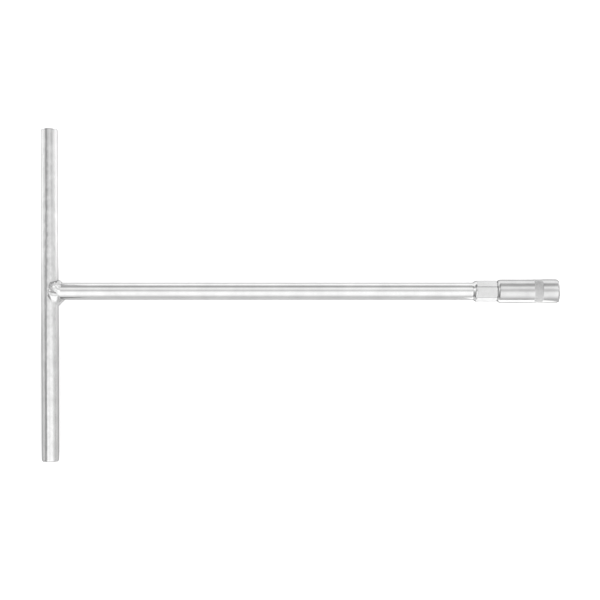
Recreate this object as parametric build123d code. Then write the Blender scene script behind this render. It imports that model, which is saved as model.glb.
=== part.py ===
from build123d import *
import math
import os

# A T-handle socket wrench, welded up from round bar, lying flat on a surface.
# +X runs along the shaft and out of the socket mouth, +Y along the cross bar, +Z up.
# The origin lies on the surface, under the middle of the tool's box. Sizes are in millimetres.

# Overall
OVERALL_LENGTH = 300.0       # back of the cross bar to the socket mouth

# Cross bar
BAR_D = 10.0
BAR_LENGTH = 193.0
BAR_CHAMFER_LENGTH = 0.9
BAR_CHAMFER_DEPTH = 0.5
SHAFT_OFFSET = 2.4           # the shaft is welded this far off the bar's middle

# Shaft
SHAFT_D = 10.0
COPE_START = 2.0             # from the bar's axis, where the fish-mouth's horns are trimmed
SPIGOT_D = 7.0
SPIGOT_LENGTH = 14.0
SPIGOT_CHAMFER = 0.8

# Weld, two passes, one on each side of the shaft
WELD_R = 6.2                 # radius of each bead's rounded face
UPPER_BEAD = (3.1, 2.5)      # centre of that face, along X and sideways from where the axes cross
LOWER_BEAD = (3.0, 3.2)
UPPER_LEG = 1.2              # how far the bead climbs each bar from their corner
LOWER_LEG = 4.0

# Socket head: hexagon shoulder, then the round socket
HEAD_LENGTH = 48.6
HEX_AF = 11.0
HEX_LENGTH = 12.8
HEX_CORNER_ROUND = 1.2
HEX_REAR_CHAMFER = 0.85
HEX_FRONT_CHAMFER = 0.45
HEX_LEAN = 5.0               # degrees the hexagon's upper flat leans towards -Y
GROOVE_WIDTH = 0.4
GROOVE_D = 10.6
SOCKET_REAR_D = 13.5
SOCKET_REAR_CHAMFER_LENGTH = 1.2
SOCKET_REAR_CHAMFER_DEPTH = 0.7
BAND_START = 13.9            # back edge of the knurled band, from the mouth
SOCKET_FRONT_D = 13.9        # over the knurled band and the mouth
BAND_STEP = 0.2
MOUTH_CHAMFER_LENGTH = 1.0
MOUTH_CHAMFER_DEPTH = 0.6

# Inside the socket head
NUT_AF = 10.0
NUT_DEPTH = 12.0
LEAD_IN_D = 12.0
LEAD_IN_DEPTH = 0.6
BOLT_BORE_D = 9.0
BOLT_BORE_DEPTH = 29.0
DRILL_POINT = 118.0          # degrees, included
SPIGOT_GAP = 0.05            # brazing gap all round the spigot
SPIGOT_BORE_EXTRA = 0.3      # how much deeper the rear bore is than the spigot is long

# Braze bead where the shaft enters the head, lapping over the hexagon's end
BRAZE_START = -1.15          # from the hexagon's end face
BRAZE_CROWN = 0.9
BRAZE_END = 1.3
BRAZE_RISE = 1.15            # how far the bead stands off the shaft

BAR_R = BAR_D / 2
SHAFT_R = SHAFT_D / 2
BAR_X = BAR_R - OVERALL_LENGTH / 2
MOUTH_X = OVERALL_LENGTH / 2
HEAD_REAR_X = MOUTH_X - HEAD_LENGTH
HEX_FRONT_X = HEAD_REAR_X + HEX_LENGTH
SOCKET_REAR_X = HEX_FRONT_X + GROOVE_WIDTH
AXIS_Z = SOCKET_FRONT_D / 2
CROSSING = (BAR_X, SHAFT_OFFSET, AXIS_Z)


def along_x(solid, x):
    """Lay a solid made along +Z on the shaft's axis, with its base at x."""
    return Pos(x, SHAFT_OFFSET, AXIS_Z) * Rot(0, 90, 0) * solid


def rod_x(radius, start, end):
    rod = Cylinder(radius, end - start, align=(Align.CENTER, Align.CENTER, Align.MIN))
    return along_x(rod, start)


def cone_x(start_radius, end_radius, start, end):
    cone = Cone(start_radius, end_radius, end - start, align=(Align.CENTER, Align.CENTER, Align.MIN))
    return along_x(cone, start)


def cone_y(start_radius, end_radius, start, end):
    """A cone laid along +Y, on the bar's axis."""
    cone = Cone(start_radius, end_radius, end - start, align=(Align.CENTER, Align.CENTER, Align.MIN))
    return Pos(BAR_X, start, AXIS_Z) * Rot(-90, 0, 0) * cone


def hexagon_x(across_flats, start, end, corner_round=0):
    """Hexagonal prism with a flat on top, apart from the lean."""
    sketch = RegularPolygon(across_flats / 2, 6, major_radius=False)
    if corner_round:
        sketch = fillet(sketch.vertices(), corner_round)
    prism = Rot(0, 0, 30 + HEX_LEAN) * extrude(sketch, end - start)
    return along_x(prism, start)


def bar_rod():
    rod = Cylinder(BAR_R, BAR_LENGTH)
    return Pos(BAR_X, 0, AXIS_Z) * Rot(90, 0, 0) * rod


def make_cross_bar():
    """Round bar with a long chamfer on each end."""
    half = BAR_LENGTH / 2
    straight = half - BAR_CHAMFER_LENGTH
    face_r = BAR_R - BAR_CHAMFER_DEPTH
    bar = Pos(BAR_X, 0, AXIS_Z) * Rot(90, 0, 0) * Cylinder(BAR_R, 2 * straight)
    bar += cone_y(BAR_R, face_r, straight, half)
    bar += cone_y(face_r, BAR_R, -half, -straight)
    return bar


def make_shaft():
    """Round rod, coped to sit against the bar, with its front end turned down to a spigot."""
    rod = rod_x(SHAFT_R, BAR_X + COPE_START, HEAD_REAR_X)
    rod -= bar_rod()
    spigot_end = HEAD_REAR_X + SPIGOT_LENGTH
    chamfer_x = spigot_end - SPIGOT_CHAMFER
    spigot_r = SPIGOT_D / 2
    rod += rod_x(spigot_r, HEAD_REAR_X, chamfer_x)
    rod += cone_x(spigot_r, spigot_r - SPIGOT_CHAMFER, chamfer_x, spigot_end)
    return rod


def make_weld_pass(side, centre, leg, shaft):
    """One bead, laid round one side of the shaft from the top crotch to the bottom one."""
    reach = 4 * WELD_R
    middle = (centre[0], side * centre[1], 0)
    bead = Plane(origin=middle, x_dir=(1, -side, 0), z_dir=(1, side, 0)) * Sphere(WELD_R)
    half = Pos(0, side * reach / 2, 0) * Box(2 * reach, reach, 2 * reach)
    bead = bead & half
    face_distance = (BAR_R + SHAFT_R + leg) / math.sqrt(2)
    cut = Pos(face_distance + reach / 2, 0, 0) * Box(reach, 2 * reach, 2 * reach)
    bead -= Rot(0, 0, side * 45) * cut
    bead = Pos(*CROSSING) * bead
    bead -= bar_rod()
    bead -= shaft
    return bead


def hexagon_shoulder():
    prism = hexagon_x(HEX_AF, HEAD_REAR_X, HEX_FRONT_X, HEX_CORNER_ROUND)
    corner_r = HEX_AF / math.sqrt(3)
    rear_end = HEAD_REAR_X + HEX_REAR_CHAMFER
    front_start = HEX_FRONT_X - HEX_FRONT_CHAMFER
    turned = cone_x(corner_r - HEX_REAR_CHAMFER, corner_r, HEAD_REAR_X, rear_end)
    turned += rod_x(corner_r, rear_end, front_start)
    turned += cone_x(corner_r, corner_r - HEX_FRONT_CHAMFER, front_start, HEX_FRONT_X)
    return prism & turned


def round_socket():
    """Rear body with a chamfered back corner, then the band and the mouth, a little larger."""
    rear_r = SOCKET_REAR_D / 2
    front_r = SOCKET_FRONT_D / 2
    rear_x = SOCKET_REAR_X + SOCKET_REAR_CHAMFER_LENGTH
    band_x = MOUTH_X - BAND_START
    chamfer_x = MOUTH_X - MOUTH_CHAMFER_LENGTH
    body = cone_x(rear_r - SOCKET_REAR_CHAMFER_DEPTH, rear_r, SOCKET_REAR_X, rear_x)
    body += rod_x(rear_r, rear_x, band_x)
    body += cone_x(rear_r, front_r, band_x, band_x + BAND_STEP)
    body += rod_x(front_r, band_x + BAND_STEP, chamfer_x)
    body += cone_x(front_r, front_r - MOUTH_CHAMFER_DEPTH, chamfer_x, MOUTH_X)
    return body


def socket_hollow():
    """Lead-in, hexagon recess for the nut, and the deep bore that clears the bolt."""
    nut_corner_r = NUT_AF / math.sqrt(3)
    lead_x = MOUTH_X - LEAD_IN_DEPTH
    floor_x = MOUTH_X - BOLT_BORE_DEPTH
    bore_r = BOLT_BORE_D / 2
    point_length = bore_r / math.tan(math.radians(DRILL_POINT / 2))
    hollow = hexagon_x(NUT_AF, MOUTH_X - NUT_DEPTH, MOUTH_X)
    hollow += cone_x(nut_corner_r - LEAD_IN_DEPTH, LEAD_IN_D / 2, lead_x, MOUTH_X)
    hollow += rod_x(bore_r, floor_x, MOUTH_X - NUT_DEPTH)
    hollow += cone_x(0, bore_r, floor_x - point_length, floor_x)
    return hollow


def make_socket_head():
    head = hexagon_shoulder()
    head += rod_x(GROOVE_D / 2, HEX_FRONT_X, SOCKET_REAR_X)
    head += round_socket()
    head -= socket_hollow()
    bore_end = HEAD_REAR_X + SPIGOT_LENGTH + SPIGOT_BORE_EXTRA
    head -= rod_x(SPIGOT_D / 2 + SPIGOT_GAP, HEAD_REAR_X, bore_end)
    return head


def make_braze_ring(shaft, head):
    """Rounded bead with its crown towards the hexagon, fitted against the shaft and the head."""
    start = (BRAZE_START, SHAFT_R)
    crown = (BRAZE_CROWN, SHAFT_R + BRAZE_RISE)
    end = (BRAZE_END, SHAFT_R)
    face = Spline(start, crown, end, tangents=((1, 1), (0, -1)))
    ring = revolve(make_face(face + Line(end, start)), Axis.X)
    ring = Pos(HEAD_REAR_X, SHAFT_OFFSET, AXIS_Z) * ring
    return ring - shaft - head


shaft = make_shaft()
head = make_socket_head()
parts = {
    "cross_bar": make_cross_bar(),
    "shaft": shaft,
    "weld_pass_upper": make_weld_pass(1, UPPER_BEAD, UPPER_LEG, shaft),
    "weld_pass_lower": make_weld_pass(-1, LOWER_BEAD, LOWER_LEG, shaft),
    "socket_head": head,
    "braze_ring": make_braze_ring(shaft, head),
}

os.makedirs("parts", exist_ok=True)
for name, solid in parts.items():
    export_step(solid, f"parts/{name}.step")
    box = solid.bounding_box()
    print(name, len(solid.solids()), round(solid.volume, 1), box.min, box.max)
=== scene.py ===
import math

import bpy
import numpy as np
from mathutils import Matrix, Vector, noise


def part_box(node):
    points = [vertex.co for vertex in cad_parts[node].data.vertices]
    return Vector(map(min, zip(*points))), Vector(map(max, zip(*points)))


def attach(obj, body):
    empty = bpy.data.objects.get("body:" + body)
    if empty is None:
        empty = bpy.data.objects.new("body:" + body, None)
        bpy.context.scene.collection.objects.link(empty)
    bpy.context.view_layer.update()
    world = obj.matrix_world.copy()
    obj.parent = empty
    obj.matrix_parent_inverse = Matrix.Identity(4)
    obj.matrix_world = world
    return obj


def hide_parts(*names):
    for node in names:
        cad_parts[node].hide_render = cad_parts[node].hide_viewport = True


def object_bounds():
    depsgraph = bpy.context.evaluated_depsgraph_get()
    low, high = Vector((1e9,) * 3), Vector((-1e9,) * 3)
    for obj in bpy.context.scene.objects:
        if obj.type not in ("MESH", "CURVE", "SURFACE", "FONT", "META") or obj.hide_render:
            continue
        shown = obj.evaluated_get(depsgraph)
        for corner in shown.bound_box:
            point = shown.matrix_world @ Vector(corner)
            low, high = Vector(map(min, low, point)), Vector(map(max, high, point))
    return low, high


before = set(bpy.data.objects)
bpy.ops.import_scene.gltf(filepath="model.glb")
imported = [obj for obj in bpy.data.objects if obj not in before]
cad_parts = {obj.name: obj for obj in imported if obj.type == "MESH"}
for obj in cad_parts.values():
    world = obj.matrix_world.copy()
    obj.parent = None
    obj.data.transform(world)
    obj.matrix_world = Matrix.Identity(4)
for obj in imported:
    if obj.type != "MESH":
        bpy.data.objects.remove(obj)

# Everything is worked out in millimetres in the row's frame, and the meshes are made in metres.
MM = 0.001
cad_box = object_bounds()


def box_mm(node):
    """A node's lowest and highest corners, in millimetres."""
    low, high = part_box(node)
    return np.array(low) / MM, np.array(high) / MM


# Places and sizes that the frame gives
BAR_LOW, BAR_HIGH = box_mm("cross_bar")
SHAFT_LOW, SHAFT_HIGH = box_mm("shaft")
HEAD_LOW, HEAD_HIGH = box_mm("socket_head")
BAR_X = (BAR_LOW[0] + BAR_HIGH[0]) / 2
AXIS_Y = (SHAFT_LOW[1] + SHAFT_HIGH[1]) / 2
AXIS_Z = (SHAFT_LOW[2] + SHAFT_HIGH[2]) / 2
ROD_R = (BAR_HIGH[2] - BAR_LOW[2]) / 2
HEAD_REAR = HEAD_LOW[0]
MOUTH = HEAD_HIGH[0]
SPIGOT_END = SHAFT_HIGH[0]
CROSSING = np.array([BAR_X, AXIS_Y, AXIS_Z])

# Rods
ROD_COLUMNS = 128
RING_STEP = 2.0             # between rings along a plain round stretch
FACE_RING = 0.6             # a ring on each flat end, as a share of the end's radius
BAR_CHAMFER_LONG = 0.9
BAR_CHAMFER_DEEP = 0.5
COPE_START = SHAFT_LOW[0] - BAR_X
COPE_INNER_R = 0.8          # the coped end's rings go from here out to the rod's skin
COPE_RINGS = 9
COPE_CLEAR = 1.0            # from the bar's skin to the shaft's first level ring
SPIGOT_R = 3.5
SPIGOT_CHAMFER = 0.8
EDGE = 0.08                 # how far a sharp edge is broken

# Braze bead, which stands nearly as high as the hexagon's corners and laps over its end
BRAZE_ROUND = 180
BRAZE_ACROSS = 32
BRAZE_MIDDLE = -0.2         # from the hexagon's end face
BRAZE_HALF_LENGTH = 0.98
BRAZE_SKEW = 1.1            # how far its crown leans towards the hexagon
BRAZE_RISE = 1.18
BRAZE_HOLLOW = 1.4          # above 1, the bead starts off the shaft with a hollow curve
BRAZE_WANDER = 0.12         # how unevenly it runs round the shaft, along it and in height
BRAZE_LUMP = 0.05
BRAZE_SEED = 2.5

# Socket head
HEAD_COLUMNS = 480
LEAN = math.radians(5)      # how far the hexagon's upper flat leans towards -Y
HEX_HALF = 5.5              # half the hexagon's width across flats
HEX_FRONT = HEAD_REAR + 12.8
HEX_CORNER_ROUND = 1.2
HEX_REAR_CUT = 0.85
HEX_FRONT_CUT = 0.45
GROOVE_R = 5.3
SOCKET_REAR = HEX_FRONT + 0.4
SOCKET_REAR_R = 6.75
SOCKET_REAR_CUT_LONG = 1.2
SOCKET_REAR_CUT_DEEP = 0.7
SOCKET_R = HEAD_HIGH[2] - AXIS_Z
BAND_START = MOUTH - 14.4
BAND_RUN_IN = 0.2           # from the smooth body to the first diamonds
BAND_RUN_OUT = (0.25, 0.4)  # from the last diamonds to the plain mouth's first two rings
KNURL_ROUND = 48            # diamonds round the band
KNURL_LONG = 5              # diamonds along it
KNURL_STEPS = 10            # rings for each diamond
KNURL_DEPTH = 0.21
KNURL_FLAT = 0.42           # half width of each groove, in diamonds
MOUTH_CUT_LONG = 1.0
MOUTH_CUT_DEEP = 0.6
LEAD_R = 6.0
LEAD_SLOPE = 0.73           # depth of the lead-in cone for each mm of radius
NUT_HALF = 5.0
NUT_CORNER_ROUND = 0.2
NUT_DEPTH = 12.0
BOLT_R = 4.5
BOLT_DEPTH = 29.0
DRILL_POINT = 2.7
SPIGOT_BORE_R = 3.55
SPIGOT_BORE_EXTRA = 0.3


# ---------------------------------------------------------------- mesh tools

def make_object(name, points, faces, slot, material, *nodes):
    """A piece from points in millimetres, riding on the one body and standing for CAD nodes."""
    mesh = bpy.data.meshes.new(name)
    mesh.from_pydata((np.asarray(points, float) * MM).tolist(), [], faces)
    mesh.validate()
    mesh.polygons.foreach_set("use_smooth", [True] * len(mesh.polygons))
    mesh.update()
    piece = bpy.data.objects.new(name, mesh)
    bpy.context.scene.collection.objects.link(piece)
    mesh.materials.append(material)
    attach(piece, "root")
    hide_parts(*nodes)
    return piece


def skin_faces(rings, columns):
    """Faces of a closed skin: a first point, rings of points, and a last point."""
    faces = []
    last = 1 + rings * columns
    for c in range(columns):
        faces.append((0, 1 + (c + 1) % columns, 1 + c))
    for r in range(rings - 1):
        a = 1 + r * columns
        b = a + columns
        for c in range(columns):
            d = (c + 1) % columns
            faces.append((a + c, a + d, b + d, b + c))
    end = 1 + (rings - 1) * columns
    for c in range(columns):
        faces.append((end + c, end + (c + 1) % columns, last))
    return faces


def turned(angles, rows, place):
    """Points of a skin turned round an axis. The first and last rows are on the axis."""
    points = [place(rows[0][0], 0.0, 0.0)]
    for along, radius in rows[1:-1]:
        along = np.broadcast_to(along, angles.shape)
        radius = np.broadcast_to(radius, angles.shape)
        points.extend(place(a, r, t) for a, r, t in zip(along, radius, angles))
    points.append(place(rows[-1][0], 0.0, 0.0))
    return points


def on_shaft(along, radius, angle):
    """Angle 0 is up, and a positive angle leans towards -Y, so that faces made in order look outwards."""
    return (along, AXIS_Y - radius * math.sin(angle), AXIS_Z + radius * math.cos(angle))


def on_bar(along, radius, angle):
    return (BAR_X + radius * math.sin(angle), along, AXIS_Z + radius * math.cos(angle))


def circle(columns, start=0.0):
    return start + np.arange(columns) * 2 * math.pi / columns


def hexagon(angles, half_width, corner_round):
    """Distance from the axis to a hexagon's side, where each corner is an arc."""
    off = np.mod(angles - LEAN + math.pi / 6, math.pi / 3) - math.pi / 6
    from_corner = math.pi / 6 - np.abs(off)
    flat = half_width / np.cos(off)
    centre = (half_width - corner_round) / math.cos(math.pi / 6)
    aside = centre * np.sin(from_corner)
    corner = centre * np.cos(from_corner) + np.sqrt(np.maximum(corner_round ** 2 - aside ** 2, 0))
    arc_ends = math.atan2(corner_round / 2, centre + corner_round * math.cos(math.pi / 6))
    return np.where(from_corner < arc_ends, corner, flat)


# ---------------------------------------------------------------- pieces

def make_bar(material):
    """Round bar with chamfered ends."""
    angles = circle(ROD_COLUMNS)
    low, high = BAR_LOW[1], BAR_HIGH[1]
    face_r = ROD_R - BAR_CHAMFER_DEEP
    end = [
        (0.0, 0.0),
        (0.0, FACE_RING * face_r),
        (0.0, face_r - 2 * EDGE),
        (0.0, face_r - EDGE / 2),
        (EDGE, face_r + EDGE / 2),
        (BAR_CHAMFER_LONG - EDGE, ROD_R - EDGE / 2),
        (BAR_CHAMFER_LONG + EDGE, ROD_R),
        (BAR_CHAMFER_LONG + 4 * EDGE, ROD_R),
    ]
    inner = end[-1][0]
    count = round((high - low - 2 * inner) / RING_STEP)
    middle = np.linspace(low + inner, high - inner, count + 1)[1:-1]
    rows = [(low + a, r) for a, r in end]
    rows += [(a, ROD_R) for a in middle]
    rows += [(high - a, r) for a, r in reversed(end)]
    points = turned(angles, rows, on_bar)
    faces = skin_faces(len(rows) - 2, ROD_COLUMNS)
    return make_object("bar_rod", points, faces, "bar_chrome", material, "cross_bar")


def make_shaft(material):
    """Round rod, coped to the bar at one end and turned down to a spigot at the other."""
    angles = circle(ROD_COLUMNS)

    def cope(radius):
        height = radius * np.cos(angles)
        return BAR_X + np.maximum(COPE_START, np.sqrt(ROD_R ** 2 - height ** 2))

    rows = [(BAR_X + ROD_R, 0.0)]
    rows += [(cope(r), r) for r in np.linspace(COPE_INNER_R, ROD_R, COPE_RINGS)]
    start = BAR_X + ROD_R + COPE_CLEAR
    count = round((HEAD_REAR - start) / RING_STEP)
    rows += [(a, ROD_R) for a in np.linspace(start, HEAD_REAR, count)]
    rows += [
        (HEAD_REAR, SPIGOT_R),
        (SPIGOT_END - SPIGOT_CHAMFER, SPIGOT_R),
        (SPIGOT_END, SPIGOT_R - SPIGOT_CHAMFER),
        (SPIGOT_END, 0.0),
    ]
    points = turned(angles, rows, on_shaft)
    faces = skin_faces(len(rows) - 2, ROD_COLUMNS)
    return make_object("shaft_rod", points, faces, "shaft_chrome", material, "shaft")


def make_braze(material):
    """Bead of braze round the shaft, with its crown pushed towards the hexagon."""
    points = []
    for angle in circle(BRAZE_ROUND):
        around = Vector((math.cos(angle), math.sin(angle), BRAZE_SEED))
        lump = noise.noise(around * 1.6) + 0.5 * noise.noise(around * 4)
        middle = HEAD_REAR + BRAZE_MIDDLE + BRAZE_WANDER * lump
        for turn in circle(BRAZE_ACROSS):
            lift = math.sin(turn)
            along = middle - BRAZE_HALF_LENGTH * math.cos(turn) + BRAZE_SKEW * lift
            rise = math.copysign(abs(lift) ** BRAZE_HOLLOW, lift)
            points.append(on_shaft(along, ROD_R + (BRAZE_RISE + BRAZE_LUMP * lump) * rise, angle))
    faces = []
    for r in range(BRAZE_ROUND):
        a = r * BRAZE_ACROSS
        b = (r + 1) % BRAZE_ROUND * BRAZE_ACROSS
        for c in range(BRAZE_ACROSS):
            d = (c + 1) % BRAZE_ACROSS
            faces.append((a + c, b + c, b + d, a + d))
    return make_object("braze_bead", points, faces, "braze_chrome", material, "braze_ring")


def plain_rings(start, end):
    """Places for rings between two edges, clear of both."""
    return np.arange(start + RING_STEP, end - RING_STEP / 2, RING_STEP)


def knurl_rows(angles, start):
    """Rings of a band cut by two sets of crossing V grooves that leave diamonds."""
    pitch = 2 * math.pi * SOCKET_R / KNURL_ROUND
    across = angles * KNURL_ROUND / (2 * math.pi)
    rows = []
    for i in range(KNURL_LONG * KNURL_STEPS + 1):
        along = i / KNURL_STEPS
        grooves = []
        for turn in (across + along, across - along):
            from_groove = np.abs(turn - np.round(turn))
            grooves.append(np.clip(1 - from_groove / KNURL_FLAT, 0, 1))
        rows.append((start + along * pitch, SOCKET_R - KNURL_DEPTH * np.maximum(*grooves)))
    return rows


def make_head(material):
    """Hexagon shoulder and socket in one skin, from the spigot's bore round to the bolt's bore."""
    angles = circle(HEAD_COLUMNS, LEAN)
    side = hexagon(angles, HEX_HALF, HEX_CORNER_ROUND)
    nut = hexagon(angles, NUT_HALF, NUT_CORNER_ROUND)
    corner = HEX_HALF / math.cos(math.pi / 6)
    rear_limit = corner - HEX_REAR_CUT
    front_limit = corner - HEX_FRONT_CUT
    bore_end = SPIGOT_END + SPIGOT_BORE_EXTRA
    rear_cut = np.maximum(side - rear_limit, 0)
    front_cut = np.maximum(side - front_limit, 0)
    rows = [
        (bore_end, 0.0),
        (bore_end, SPIGOT_BORE_R),
        (HEAD_REAR, SPIGOT_BORE_R),
        (HEAD_REAR, ROD_R + EDGE),
        (HEAD_REAR, rear_limit - EDGE),
        (HEAD_REAR + rear_cut + EDGE, side),
        (HEAD_REAR + rear_cut + 3 * EDGE, side),
        (HEX_FRONT - front_cut - 3 * EDGE, side),
        (HEX_FRONT - front_cut - EDGE, side),
        (HEX_FRONT, np.minimum(side, front_limit) - EDGE),
        (HEX_FRONT, GROOVE_R + EDGE),
        (HEX_FRONT + EDGE, GROOVE_R),
        (SOCKET_REAR - EDGE, GROOVE_R),
        (SOCKET_REAR, GROOVE_R + EDGE),
    ]
    cut_end = SOCKET_REAR + SOCKET_REAR_CUT_LONG
    cut_r = SOCKET_REAR_R - SOCKET_REAR_CUT_DEEP
    rows += [
        (SOCKET_REAR, cut_r - EDGE),
        (SOCKET_REAR + EDGE, cut_r + EDGE / 2),
        (cut_end - 2 * EDGE, SOCKET_REAR_R - EDGE),
        (cut_end, SOCKET_REAR_R - EDGE / 4),
        (cut_end + 2 * EDGE, SOCKET_REAR_R),
    ]
    rows += [(a, SOCKET_REAR_R) for a in plain_rings(SOCKET_REAR, BAND_START)]
    rows += [(BAND_START - 2 * EDGE, SOCKET_REAR_R), (BAND_START, SOCKET_REAR_R)]
    rows += knurl_rows(angles, BAND_START + BAND_RUN_IN)
    band_end = rows[-1][0]
    rows += [(band_end + a, SOCKET_R) for a in BAND_RUN_OUT]
    cut_start = MOUTH - MOUTH_CUT_LONG
    lip = SOCKET_R - MOUTH_CUT_DEEP
    rows += [(a, SOCKET_R) for a in plain_rings(band_end, cut_start)]
    rows += [
        (cut_start - 2 * EDGE, SOCKET_R),
        (cut_start, SOCKET_R - EDGE / 4),
        (cut_start + 2 * EDGE, SOCKET_R - EDGE),
        (MOUTH - EDGE, lip + EDGE / 2),
        (MOUTH, lip - EDGE / 2),
        (MOUTH, LEAD_R + EDGE / 2),
        (MOUTH - EDGE / 2, LEAD_R - EDGE / 2),
        (MOUTH - (LEAD_R - nut) * LEAD_SLOPE + EDGE / 2, nut + EDGE / 2),
        (MOUTH - (LEAD_R - nut) * LEAD_SLOPE - EDGE, nut),
        (MOUTH - NUT_DEPTH, nut),
        (MOUTH - NUT_DEPTH, BOLT_R + EDGE),
        (MOUTH - NUT_DEPTH - EDGE, BOLT_R),
        (MOUTH - BOLT_DEPTH, BOLT_R),
        (MOUTH - BOLT_DEPTH - DRILL_POINT, 0.0),
    ]
    points = turned(angles, rows, on_shaft)
    faces = skin_faces(len(rows) - 2, HEAD_COLUMNS)
    return make_object("head_socket", points, faces, "head_chrome", material, "socket_head")


# The weld beads. A toe is where a bead runs out onto the bar or the shaft: the angle round it from the top,
# in degrees, and the distance along it from the crossing. The crown is the bead's height, by the share of
# the way. Both go from the top crotch to the side of the joint. The crest is where across the bead it stands
# highest, as a share, and a larger rise makes its flank on the bar steeper. The ripple is how high the
# ripples stand, the pitch is their length, and the grit is finer roughness. A lump lies between two points
# seen from above (x0, y0, x1, y1), with its radius and its height, and a hollow's height is negative.
UPPER_BEAD = {
    "side": 1,
    "bar_toe": [(3, -0.1), (-8, 0.7), (-7, 1.8), (0, 4.1), (11, 5.2), (34, 5.7), (60, 6.2), (90, 6.6)],
    "shaft_toe": [(-1, 0.3), (-11, 3.0), (-19, 5.6), (-6, 6.6), (13, 6.8), (37, 7.0), (67, 7.1),
                  (90, 7.1)],
    "crown": [(0, 0.1), (0.12, 0.6), (0.3, 0.7), (0.55, 0.9), (0.8, 0.55), (0.93, 0.33), (1, 0.3)],
    "crest": 0.36, "rise": 1.8, "ripple": 0.28, "pitch": 1.8, "grit": 0.1, "seed": 3.0,
    "lumps": [
        (1.4, 4.0, 3.5, 0.6, 0.65, 0.22),
        (4.7, 5.0, 4.7, 5.0, 0.6, 0.25),
        (6.6, 3.6, 6.6, 3.6, 0.6, 0.2),
        (4.2, 2.7, 5.0, 1.8, 0.8, -0.25),
        (3.6, 4.3, 3.6, 4.3, 0.5, -0.25),
    ],
}
LOWER_BEAD = {
    "side": -1,
    "bar_toe": [(7, 0.1), (-3, 0.2), (-8, 1.1), (-8, 2.4), (2, 3.9), (14, 5.25), (34, 6.75), (60, 8.1),
                (90, 9.0)],
    "shaft_toe": [(2, 1.0), (6, 2.6), (14, 4.6), (22, 5.8), (37, 6.1), (57, 6.8), (75, 8.2), (90, 9.0)],
    "crown": [(0, 0.3), (0.05, 0.9), (0.12, 1.05), (0.35, 0.9), (0.6, 0.72), (0.8, 0.3), (0.93, -0.02),
              (1, -0.06)],
    "crest": 0.4, "rise": 1.6, "ripple": 0.03, "pitch": 2.2, "grit": 0.03, "seed": 11.0,
    "lumps": [],
}
BEAD_LONG = 360             # steps from the top crotch round to the bottom one
BEAD_ACROSS = 60            # steps across a bead's face
BEAD_SINK = 0.06            # how far the toes are buried
BEAD_ROOT = 0.6             # how far out the hidden root is, as a share of the toes' distance
RIPPLE_BOW = 0.4            # how far the ripples' ends trail behind, in ripples
RIPPLE_WANDER = 0.5         # how far noise moves them, in ripples
RIPPLE_SKEW = 1.6           # above 1, a ripple's front is steeper than its back
RIPPLE_MEAN = 0.6           # taken off, so that ripples don't raise the bead as a whole
WANDER_SCALE = 0.45         # noise scales, in lumps for each mm
GRIT_SCALES = (0.8, 1.7)


def smooth_line(points, count):
    """Evenly spaced points on a smooth curve through the given ones."""
    given = np.array(points, float)
    lengths = np.linalg.norm(np.diff(given, axis=0), axis=1)
    at = np.concatenate([[0], np.cumsum(lengths)])
    slopes = np.gradient(given, at, axis=0)
    fine = np.linspace(0, at[-1], count)
    cell = np.clip(np.searchsorted(at, fine, side="right") - 1, 0, len(at) - 2)
    span = lengths[cell][:, None]
    t = ((fine - at[cell]) / lengths[cell])[:, None]
    start, end = given[cell], given[cell + 1]
    push, pull = slopes[cell] * span, slopes[cell + 1] * span
    curve = (2 * t ** 3 - 3 * t ** 2 + 1) * start + (t ** 3 - 2 * t ** 2 + t) * push
    return curve + (3 * t ** 2 - 2 * t ** 3) * end + (t ** 3 - t ** 2) * pull


def whole_toe(points):
    """A toe's angle and distance from the top crotch to the bottom one, mirrored about the side."""
    half = [(math.radians(angle) * ROD_R, along) for angle, along in points]
    back = [(math.pi * ROD_R - arc, along) for arc, along in reversed(half[:-1])]
    toe = smooth_line(half + back, BEAD_LONG + 1)
    toe[:, 0] /= ROD_R
    return toe


def from_line(points, start, end):
    """Distances from points to the line between two others, seen from above."""
    along = np.subtract(end, start)
    offset = points[:, :2] - start
    squared = max(along @ along, 1e-9)      # a line can be as short as a point
    share = np.clip(offset @ along / squared, 0, 1)
    return np.linalg.norm(offset - share[:, None] * along, axis=1)


def noise_at(points, scale, seed):
    return np.array([noise.noise(Vector(p * scale + seed)) for p in points])


def bead_height(bead, points, s, travel, share, crown):
    """How far a bead stands off the line between its toes: its arch, its ripples and its lumps."""
    crest = bead["crest"]
    flank = 1 - np.clip(1 - s / crest, 0, 1) ** bead["rise"]
    far = 1 - (np.clip(s - crest, 0, 1) / (1 - crest)) ** 2
    seed = bead["seed"]
    wander = RIPPLE_WANDER * noise_at(points, WANDER_SCALE, seed)
    phase = travel / bead["pitch"] - RIPPLE_BOW * (2 * s - 1) ** 2 + wander
    step = phase - np.floor(phase)
    rough = bead["ripple"] * (np.sin(np.pi * step ** RIPPLE_SKEW) - RIPPLE_MEAN)
    coarse, fine = GRIT_SCALES
    rough += bead["grit"] * (noise_at(points, coarse, -seed) + noise_at(points, fine, seed))
    for x0, y0, x1, y1, radius, rise in bead["lumps"]:
        rough += rise * np.exp(-(from_line(points, (x0, y0), (x1, y1)) / radius) ** 2)
    fade = np.clip((s - 0.1) / 0.2, 0, 1) * np.clip((1 - s) / 0.2, 0, 1) * min(1, 4 * share)
    return crown * np.where(s < crest, flank, far) + rough * fade


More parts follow.
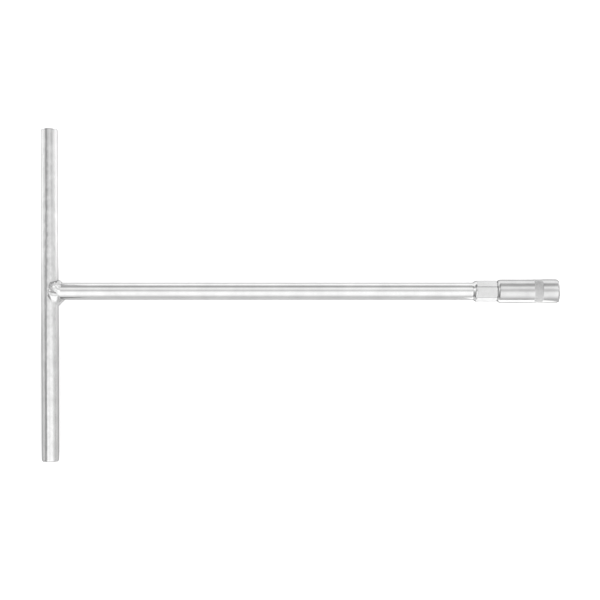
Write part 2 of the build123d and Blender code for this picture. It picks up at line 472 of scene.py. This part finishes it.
def make_bead(name, bead, material):
    """A weld bead laid in the corner between bar and shaft, from the top crotch round to the bottom one."""
    side = bead["side"]
    bar_toe = whole_toe(bead["bar_toe"])
    shaft_toe = whole_toe(bead["shaft_toe"])
    share = 1 - np.abs(np.linspace(-1, 1, BEAD_LONG + 1))
    crown = np.interp(share, *zip(*bead["crown"]))
    travel = np.gradient(bar_toe + shaft_toe, axis=0) * (ROD_R, 1)
    travelled = np.cumsum(np.linalg.norm(travel, axis=1)) / 2
    s = np.linspace(0, 1, BEAD_ACROSS + 1)
    rings = []
    for i in range(BEAD_LONG + 1):
        bar_angle, bar_along = bar_toe[i]
        shaft_angle, shaft_along = shaft_toe[i]
        bar_normal = np.array([math.sin(bar_angle), 0, math.cos(bar_angle)])
        shaft_normal = np.array([0, side * math.sin(shaft_angle), math.cos(shaft_angle)])
        start = bar_normal * (ROD_R - BEAD_SINK) + (0, side * bar_along, 0)
        end = shaft_normal * (ROD_R - BEAD_SINK) + (shaft_along, 0, 0)
        out = (bar_normal + shaft_normal) / np.linalg.norm(bar_normal + shaft_normal)
        line = start + (end - start) * s[:, None]
        height = bead_height(bead, line, s, travelled[i], share[i], crown[i])
        root = (start + end) / 2 * BEAD_ROOT
        rings.append([*(line + out * height[:, None]), root])
    points = [rings[0][0]] + [p for ring in rings[1:-1] for p in ring] + [rings[-1][0]]
    points = [CROSSING + p for p in points]
    faces = skin_faces(BEAD_LONG - 1, BEAD_ACROSS + 2)
    if side > 0:
        faces = [tuple(reversed(f)) for f in faces]
    return make_object(f"bead_{name}", points, faces, "weld_chrome", material, f"weld_pass_{name}")


# ---------------------------------------------------------------- materials

# How much of its gloss the plate keeps where it is seen edge on. Chrome dims a little there, but this much
# is painted shade: the dark rims stand in for the shadowed table that they would reflect.
EDGE_TINT = 0.35

# Dark and light are shades of the plate, smooth and dull its roughness. Marks are fine scratches along the
# grain. Waves are slow dents, with their scale in lumps for each metre. Heights are in metres.
FINISHES = {
    "bar": {
        "dark": 0.53, "light": 0.60, "smooth": 0.10, "dull": 0.17,
        "grain": (1, 0.06, 1), "mark_height": 0.000004,
        "wave_stretch": (1, 0.6, 1), "wave_scale": 330, "wave_height": 0.00011,
    },
    "shaft": {
        "dark": 0.53, "light": 0.59, "smooth": 0.09, "dull": 0.15,
        "grain": (0.06, 1, 1), "mark_height": 0.000004,
        "wave_stretch": (0.3, 1, 1), "wave_scale": 150, "wave_height": 0.00003,
    },
    "head": {
        "dark": 0.43, "light": 0.50, "smooth": 0.16, "dull": 0.24,
        "grain": (1, 0.1, 0.1), "mark_height": 0.000004,
        "wave_stretch": (1, 1, 1), "wave_scale": 400, "wave_height": 0.00002,
    },
    "weld": {
        "dark": 0.48, "light": 0.62, "smooth": 0.08, "dull": 0.18,
        "grain": (1, 1, 1), "mark_height": 0.000006,
        "wave_stretch": (1, 1, 1), "wave_scale": 500, "wave_height": 0.00004,
    },
}
CLOUD_SCALE = 120           # cloudiness and marks, in lumps for each metre
MARK_SCALE = 900
MARK_DULL = (-0.02, 0.05)   # what the marks add to the roughness


def new_material(name):
    material = bpy.data.materials.new(name)
    material.use_nodes = True
    tree = material.node_tree
    shader = tree.nodes["Principled BSDF"]
    return material, tree, shader


def add(tree, kind, inputs=None, **settings):
    """A new shader node, with constant values for its inputs."""
    node = tree.nodes.new(kind)
    for key, value in settings.items():
        setattr(node, key, value)
    for key, value in (inputs or {}).items():
        node.inputs[key].default_value = value
    return node


def noise_on(tree, coordinates, stretch, scale, detail=3.0, roughness=0.5):
    """Noise in object space, stretched along the axes. Scale is in lumps for each metre."""
    mapping = add(tree, "ShaderNodeMapping", {"Scale": stretch})
    pattern = add(tree, "ShaderNodeTexNoise", {"Scale": scale, "Detail": detail, "Roughness": roughness})
    tree.links.new(coordinates, mapping.inputs["Vector"])
    tree.links.new(mapping.outputs["Vector"], pattern.inputs["Vector"])
    return pattern.outputs["Fac"]


def ramp(tree, value, stops):
    """Grey level that follows a value through a list of (position, level)."""
    node = add(tree, "ShaderNodeValToRGB")
    while len(node.color_ramp.elements) < len(stops):
        node.color_ramp.elements.new(0.5)
    for element, (position, level) in zip(node.color_ramp.elements, stops):
        element.position = position
        element.color = (level, level, level, 1)
    tree.links.new(value, node.inputs["Fac"])
    return node.outputs["Color"]


def spread(tree, value, low, high):
    """Stretch a noise's usual range over low to high."""
    levels = {"From Min": 0.3, "From Max": 0.7, "To Min": low, "To Max": high}
    node = add(tree, "ShaderNodeMapRange", levels)
    tree.links.new(value, node.inputs["Value"])
    return node.outputs["Result"]


def combine(tree, operation, a, b):
    """A math node on two values, each a number or another node's output."""
    node = add(tree, "ShaderNodeMath", operation=operation)
    for socket, value in zip(node.inputs, (a, b)):
        if isinstance(value, (int, float)):
            socket.default_value = value
        else:
            tree.links.new(value, socket)
    return node.outputs["Value"]


def bump(tree, height, distance, strength=1.0, under=None):
    node = add(tree, "ShaderNodeBump", {"Strength": strength, "Distance": distance})
    tree.links.new(height, node.inputs["Height"])
    if under is not None:
        tree.links.new(under, node.inputs["Normal"])
    return node.outputs["Normal"]


def plated(name, dark, light, smooth, dull, grain, mark_height, wave_stretch, wave_scale, wave_height):
    """Chrome plate over steel: uneven gloss, slow waves in the metal and fine marks along the grain."""
    material, tree, shader = new_material(name)
    place = add(tree, "ShaderNodeTexCoord").outputs["Object"]
    cloud = noise_on(tree, place, (1, 1, 1), CLOUD_SCALE, detail=4)
    marks = noise_on(tree, place, grain, MARK_SCALE, detail=5, roughness=0.65)
    waves = noise_on(tree, place, wave_stretch, wave_scale, detail=1)
    shader.inputs["Metallic"].default_value = 1.0
    # Dimmed edge reflection: a little is the metal's own, the rest is painted shade on the rims for the
    # table's shadow.
    shader.inputs["Specular Tint"].default_value = (EDGE_TINT, EDGE_TINT, EDGE_TINT, 1)
    shade = ramp(tree, cloud, [(0.3, dark), (0.7, light)])
    tree.links.new(shade, shader.inputs["Base Color"])
    roughness = combine(tree, "ADD", spread(tree, cloud, smooth, dull), spread(tree, marks, *MARK_DULL))
    tree.links.new(roughness, shader.inputs["Roughness"])
    normal = bump(tree, waves, wave_height)
    normal = bump(tree, marks, mark_height, under=normal)
    tree.links.new(normal, shader.inputs["Normal"])
    return material


def make_materials():
    return {name: plated(f"{name}_plate", **finish) for name, finish in FINISHES.items()}


# ---------------------------------------------------------------- stage

CAMERA_DISTANCE = 0.8358    # from the shaft's axis
CAMERA_OFFSET = (0.00015, -0.0027)
CAMERA_LEAN = math.radians(1.15)    # how far it stands off straight above, towards +Y
CAMERA_LENS = 86.4
FLOOR_SIZE = 8.0
FLOOR_SHADE = 0.75
FLOOR_FADE = 0.03           # half the width over which the two sides' light blends
FLOOR_LIGHT_FAR = 0.85      # on the +Y side
FLOOR_LIGHT_NEAR = 0.35     # on the -Y side, as the camera sees it
FLOOR_LIGHT_LEAST = 0.1     # on the -Y side, as the metal reflects it
CARD_WIDTH = 0.06
CARD_LIFT = 0.0002          # off the floor
CARD_GAP = 6                # from the socket, in millimetres
CARD_PAST_MOUTH = 2
CARD_SHADE = 0.8
CARD_LIGHT = 1.8
BACKDROP_LIGHT = 1.2


def make_camera():
    data = bpy.data.cameras.new("camera")
    data.lens = CAMERA_LENS
    data.sensor_width = 36.0
    data.clip_start = 0.01
    data.clip_end = 50
    camera = bpy.data.objects.new("camera", data)
    middle = (cad_box[0] + cad_box[1]) / 2
    target = Vector((middle.x + CAMERA_OFFSET[0], middle.y + CAMERA_OFFSET[1], AXIS_Z * MM))
    camera.location = target + CAMERA_DISTANCE * Vector((0, math.sin(CAMERA_LEAN), math.cos(CAMERA_LEAN)))
    camera.rotation_euler = (-CAMERA_LEAN, 0, 0)
    bpy.context.scene.collection.objects.link(camera)
    bpy.context.scene.camera = camera


def flat_sheet(name, low, high, height, shade):
    """A level rectangle in metres between two corners, with a matt white material that can give light."""
    (x0, y0), (x1, y1) = low, high
    mesh = bpy.data.meshes.new(name)
    corners = [(x0, y0), (x1, y0), (x1, y1), (x0, y1)]
    mesh.from_pydata([(x, y, height) for x, y in corners], [], [(0, 1, 2, 3)])
    sheet = bpy.data.objects.new(name, mesh)
    bpy.context.scene.collection.objects.link(sheet)
    material, tree, shader = new_material(f"{name}_white")
    shader.inputs["Base Color"].default_value = (shade, shade, shade, 1)
    shader.inputs["Roughness"].default_value = 1.0
    shader.inputs["Emission Color"].default_value = (1, 1, 1, 1)
    mesh.materials.append(material)
    return sheet, tree, shader


def make_floor():
    """A pale light table, brighter towards +Y. The metal reflects it greyer than the camera sees it."""
    half = FLOOR_SIZE / 2
    floor, tree, shader = flat_sheet("floor", (-half, -half), (half, half), 0, FLOOR_SHADE)
    place = add(tree, "ShaderNodeTexCoord").outputs["Object"]
    axes = add(tree, "ShaderNodeSeparateXYZ")
    tree.links.new(place, axes.inputs["Vector"])
    seen = add(tree, "ShaderNodeLightPath").outputs["Is Camera Ray"]
    least = add(tree, "ShaderNodeMapRange", {"To Min": FLOOR_LIGHT_LEAST, "To Max": FLOOR_LIGHT_NEAR})
    tree.links.new(seen, least.inputs["Value"])
    across = {"From Min": -FLOOR_FADE, "From Max": FLOOR_FADE, "To Max": FLOOR_LIGHT_FAR}
    glow = add(tree, "ShaderNodeMapRange", across)
    tree.links.new(axes.outputs["Y"], glow.inputs["Value"])
    tree.links.new(least.outputs["Result"], glow.inputs["To Min"])
    shader.inputs["Specular IOR Level"].default_value = 0.0
    tree.links.new(glow.outputs["Result"], shader.inputs["Emission Strength"])


def make_card():
    """A white card on the table beside the head, which lights its lower flank."""
    edge = (AXIS_Y - SOCKET_R - CARD_GAP) * MM
    low = (HEAD_REAR * MM, edge - CARD_WIDTH)
    high = ((MOUTH + CARD_PAST_MOUTH) * MM, edge)
    card, _, shader = flat_sheet("card", low, high, CARD_LIFT, CARD_SHADE)
    shader.inputs["Emission Strength"].default_value = CARD_LIGHT


# Brightness of the light tent by angle in degrees from straight up. The first is for the turn towards +Y.
# The others, for the tent's -Y and +Y halves, are for the lean towards +X. The two are multiplied.
TENT = [(-90, 0.6), (-82, 0.72), (-71, 1.0), (-58, 1.2), (-45, 1.46), (-28, 1.5), (-16, 1.46), (-8, 1.38),
        (-3, 1.16), (4, 0.94), (14, 0.94), (25, 1.24), (36, 1.5), (45, 1.25), (55, 0.74), (66, 0.54),
        (76, 0.7), (84, 0.95), (90, 1.0)]
NEAR_SIDES = [(-90, 0.92), (-80, 0.8), (-70, 0.62), (-60, 0.38), (-40, 0.38), (-31, 1.0), (-25, 1.3),
              (-14, 1.3), (-9, 1.18), (8, 1.18), (14, 1.32), (38, 1.25), (54, 0.88), (70, 0.7), (90, 0.62)]
FAR_SIDES = [(-90, 1.36), (-56, 1.36), (-48, 0.9), (-43, 0.6), (-24, 0.54), (-14, 1.0), (-8, 1.06),
             (0, 1.1), (8, 1.16), (14, 1.32), (20, 1.16), (28, 1.0), (40, 0.93), (53, 1.2), (68, 1.36),
             (84, 1.34), (90, 1.1)]
TENT_PEAK = 1.5
SIDES_PEAK = 1.36
TENT_SEAM = 0.05            # half the width over which its halves blend


def angle_ramp(tree, angle, stops, peak):
    """Brightness that follows an angle, from minus a right angle to plus a right angle."""
    share = combine(tree, "ADD", combine(tree, "DIVIDE", angle, math.pi), 0.5)
    levels = [((degrees + 90) / 180, level / peak) for degrees, level in stops]
    return ramp(tree, share, levels)


def make_tent():
    """A white light tent, greyer overhead and near the table. The camera sees a plain white backdrop."""
    world = bpy.data.worlds.new("tent")
    bpy.context.scene.world = world
    world.use_nodes = True
    tree = world.node_tree
    tree.nodes.clear()
    direction = add(tree, "ShaderNodeTexCoord").outputs["Generated"]
    axes = add(tree, "ShaderNodeSeparateXYZ")
    tree.links.new(direction, axes.inputs["Vector"])
    up = combine(tree, "MAXIMUM", axes.outputs["Z"], 0.0001)   # below the table counts as level
    along_y = angle_ramp(tree, combine(tree, "ARCTAN2", axes.outputs["Y"], up), TENT, TENT_PEAK)
    sideways = combine(tree, "ARCSINE", axes.outputs["X"], 0)
    near = angle_ramp(tree, sideways, NEAR_SIDES, SIDES_PEAK)
    far = angle_ramp(tree, sideways, FAR_SIDES, SIDES_PEAK)
    half = add(tree, "ShaderNodeMapRange", {"From Min": -TENT_SEAM, "From Max": TENT_SEAM})
    tree.links.new(axes.outputs["Y"], half.inputs["Value"])
    along_x = add(tree, "ShaderNodeMix", data_type="RGBA")
    tree.links.new(half.outputs["Result"], along_x.inputs["Factor"])
    tree.links.new(near, along_x.inputs["A"])
    tree.links.new(far, along_x.inputs["B"])
    light = add(tree, "ShaderNodeMix", {"Factor": 1.0}, data_type="RGBA", blend_type="MULTIPLY")
    tree.links.new(along_y, light.inputs["A"])
    tree.links.new(along_x.outputs["Result"], light.inputs["B"])
    inside = add(tree, "ShaderNodeBackground", {"Strength": TENT_PEAK * SIDES_PEAK})
    tree.links.new(light.outputs["Result"], inside.inputs["Color"])
    plain = add(tree, "ShaderNodeBackground", {"Color": (1, 1, 1, 1), "Strength": BACKDROP_LIGHT})
    seen = add(tree, "ShaderNodeLightPath")
    choose = add(tree, "ShaderNodeMixShader")
    tree.links.new(seen.outputs["Is Camera Ray"], choose.inputs["Fac"])
    tree.links.new(inside.outputs["Background"], choose.inputs[1])
    tree.links.new(plain.outputs["Background"], choose.inputs[2])
    output = add(tree, "ShaderNodeOutputWorld")
    tree.links.new(choose.outputs["Shader"], output.inputs["Surface"])


materials = make_materials()
make_camera()
make_floor()
make_card()
make_tent()
make_bar(materials["bar"])
make_shaft(materials["shaft"])
make_head(materials["head"])
make_braze(materials["weld"])
make_bead("upper", UPPER_BEAD, materials["weld"])
make_bead("lower", LOWER_BEAD, materials["weld"])

bpy.context.scene.view_settings.view_transform = "Standard"
